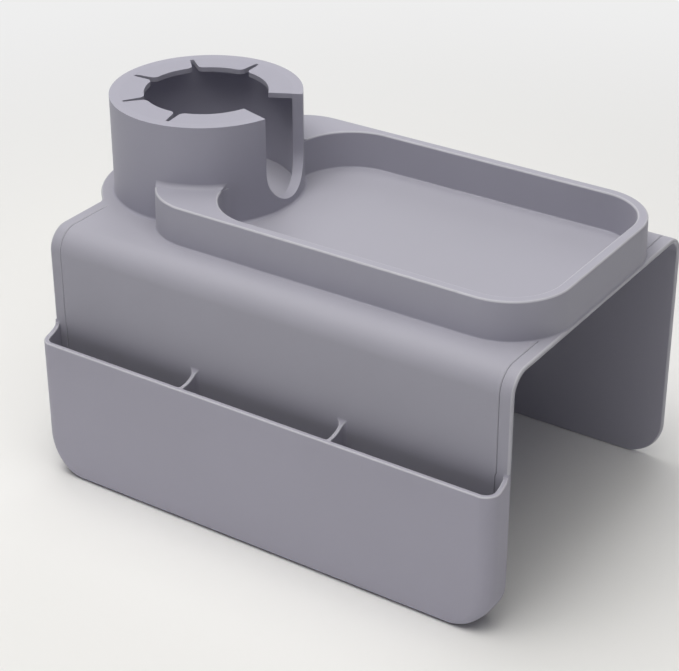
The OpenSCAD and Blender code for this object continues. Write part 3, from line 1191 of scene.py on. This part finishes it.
def seen_directly(nodes, links):
    """1 for the rays that should meet the pale surrounding: camera, reflection and transmission."""
    path = nodes.new("ShaderNodeLightPath")
    first = math_node(nodes, "MAXIMUM")
    links.new(path.outputs["Is Camera Ray"], first.inputs[0])
    links.new(path.outputs["Is Glossy Ray"], first.inputs[1])
    both = math_node(nodes, "MAXIMUM")
    links.new(first.outputs[0], both.inputs[0])
    links.new(path.outputs["Is Transmission Ray"], both.inputs[1])
    return both


def floor_material(rgb, near, far):
    material = bpy.data.materials.new("pale_floor")
    material.use_nodes = True
    nodes, links = material.node_tree.nodes, material.node_tree.links
    skin = nodes["Principled BSDF"]
    skin.inputs["Base Color"].default_value = (*linear(rgb), 1)
    skin.inputs["Roughness"].default_value = 0.9
    glow = nodes.new("ShaderNodeEmission")
    glow.inputs["Color"].default_value = (SURROUND, SURROUND, SURROUND, 1)
    place = nodes.new("ShaderNodeTexCoord")
    away = nodes.new("ShaderNodeVectorMath")
    away.operation = "LENGTH"
    links.new(place.outputs["Object"], away.inputs[0])
    fade = nodes.new("ShaderNodeMapRange")
    fade.interpolation_type = "SMOOTHSTEP"
    fade.inputs["From Min"].default_value = near
    fade.inputs["From Max"].default_value = far
    links.new(away.outputs["Value"], fade.inputs["Value"])
    share = math_node(nodes, "MULTIPLY")
    links.new(fade.outputs["Result"], share.inputs[0])
    links.new(seen_directly(nodes, links).outputs[0], share.inputs[1])
    blend = nodes.new("ShaderNodeMixShader")
    links.new(share.outputs[0], blend.inputs["Fac"])
    links.new(skin.outputs["BSDF"], blend.inputs[1])
    links.new(glow.outputs["Emission"], blend.inputs[2])
    links.new(blend.outputs["Shader"], nodes["Material Output"].inputs["Surface"])
    return material


# %% Floor
floor_bm = bmesh.new()
bmesh.ops.create_grid(floor_bm, x_segments=1, y_segments=1, size=3.0)
bmesh.ops.translate(floor_bm, verts=floor_bm.verts[:], vec=(0, 0, -DROP / 1000 - 0.0002))
floor_mesh = bpy.data.meshes.new("floor")
floor_bm.to_mesh(floor_mesh)
floor_bm.free()
floor = bpy.data.objects.new("floor", floor_mesh)
bpy.context.scene.collection.objects.link(floor)
floor_mesh.materials.append(floor_material((236, 236, 236), 0.35, 0.9))


# %% Lamps and world
WARM = (1, 0.985, 0.945)
COOL = (0.94, 0.94, 1)
FILL = 0.11


def soft_panel(name, at, aim, size, power, colour):
    data = bpy.data.lights.new(name, "AREA")
    data.shape = "RECTANGLE"
    data.size = size[0]
    data.size_y = size[1]
    data.energy = power
    data.color = colour
    lamp = bpy.data.objects.new(name, data)
    lamp.location = at
    lamp.rotation_euler = (Vector(aim) - Vector(at)).to_track_quat("-Z", "Y").to_euler()
    bpy.context.scene.collection.objects.link(lamp)


soft_panel("overhead", (-0.35, -0.1, 1.5), (0, 0, 0), (1.7, 1.3), 19.5, WARM)
soft_panel("overhead_right", (0.25, -0.4, 1.5), (0, 0, 0), (1.6, 1.2), 12, WARM)
soft_panel("low_front", (0.1, -1.5, 0.05), (0, -0.1, -0.05), (1.6, 0.35), 1.8, COOL)
soft_panel("back", (-0.5, 1.5, 0.9), (0, 0, 0), (1.4, 0.8), 4, COOL)

world = bpy.data.worlds.new("studio")
bpy.context.scene.world = world
world.use_nodes = True
sky, wires = world.node_tree.nodes, world.node_tree.links
level = sky.new("ShaderNodeMapRange")
level.inputs["To Min"].default_value = FILL
level.inputs["To Max"].default_value = SURROUND
wires.new(seen_directly(sky, wires).outputs[0], level.inputs["Value"])
wires.new(level.outputs["Result"], sky["Background"].inputs["Strength"])
sky["Background"].inputs["Color"].default_value = (1, 1, 1, 1)
bpy.context.scene.view_settings.view_transform = "Standard"
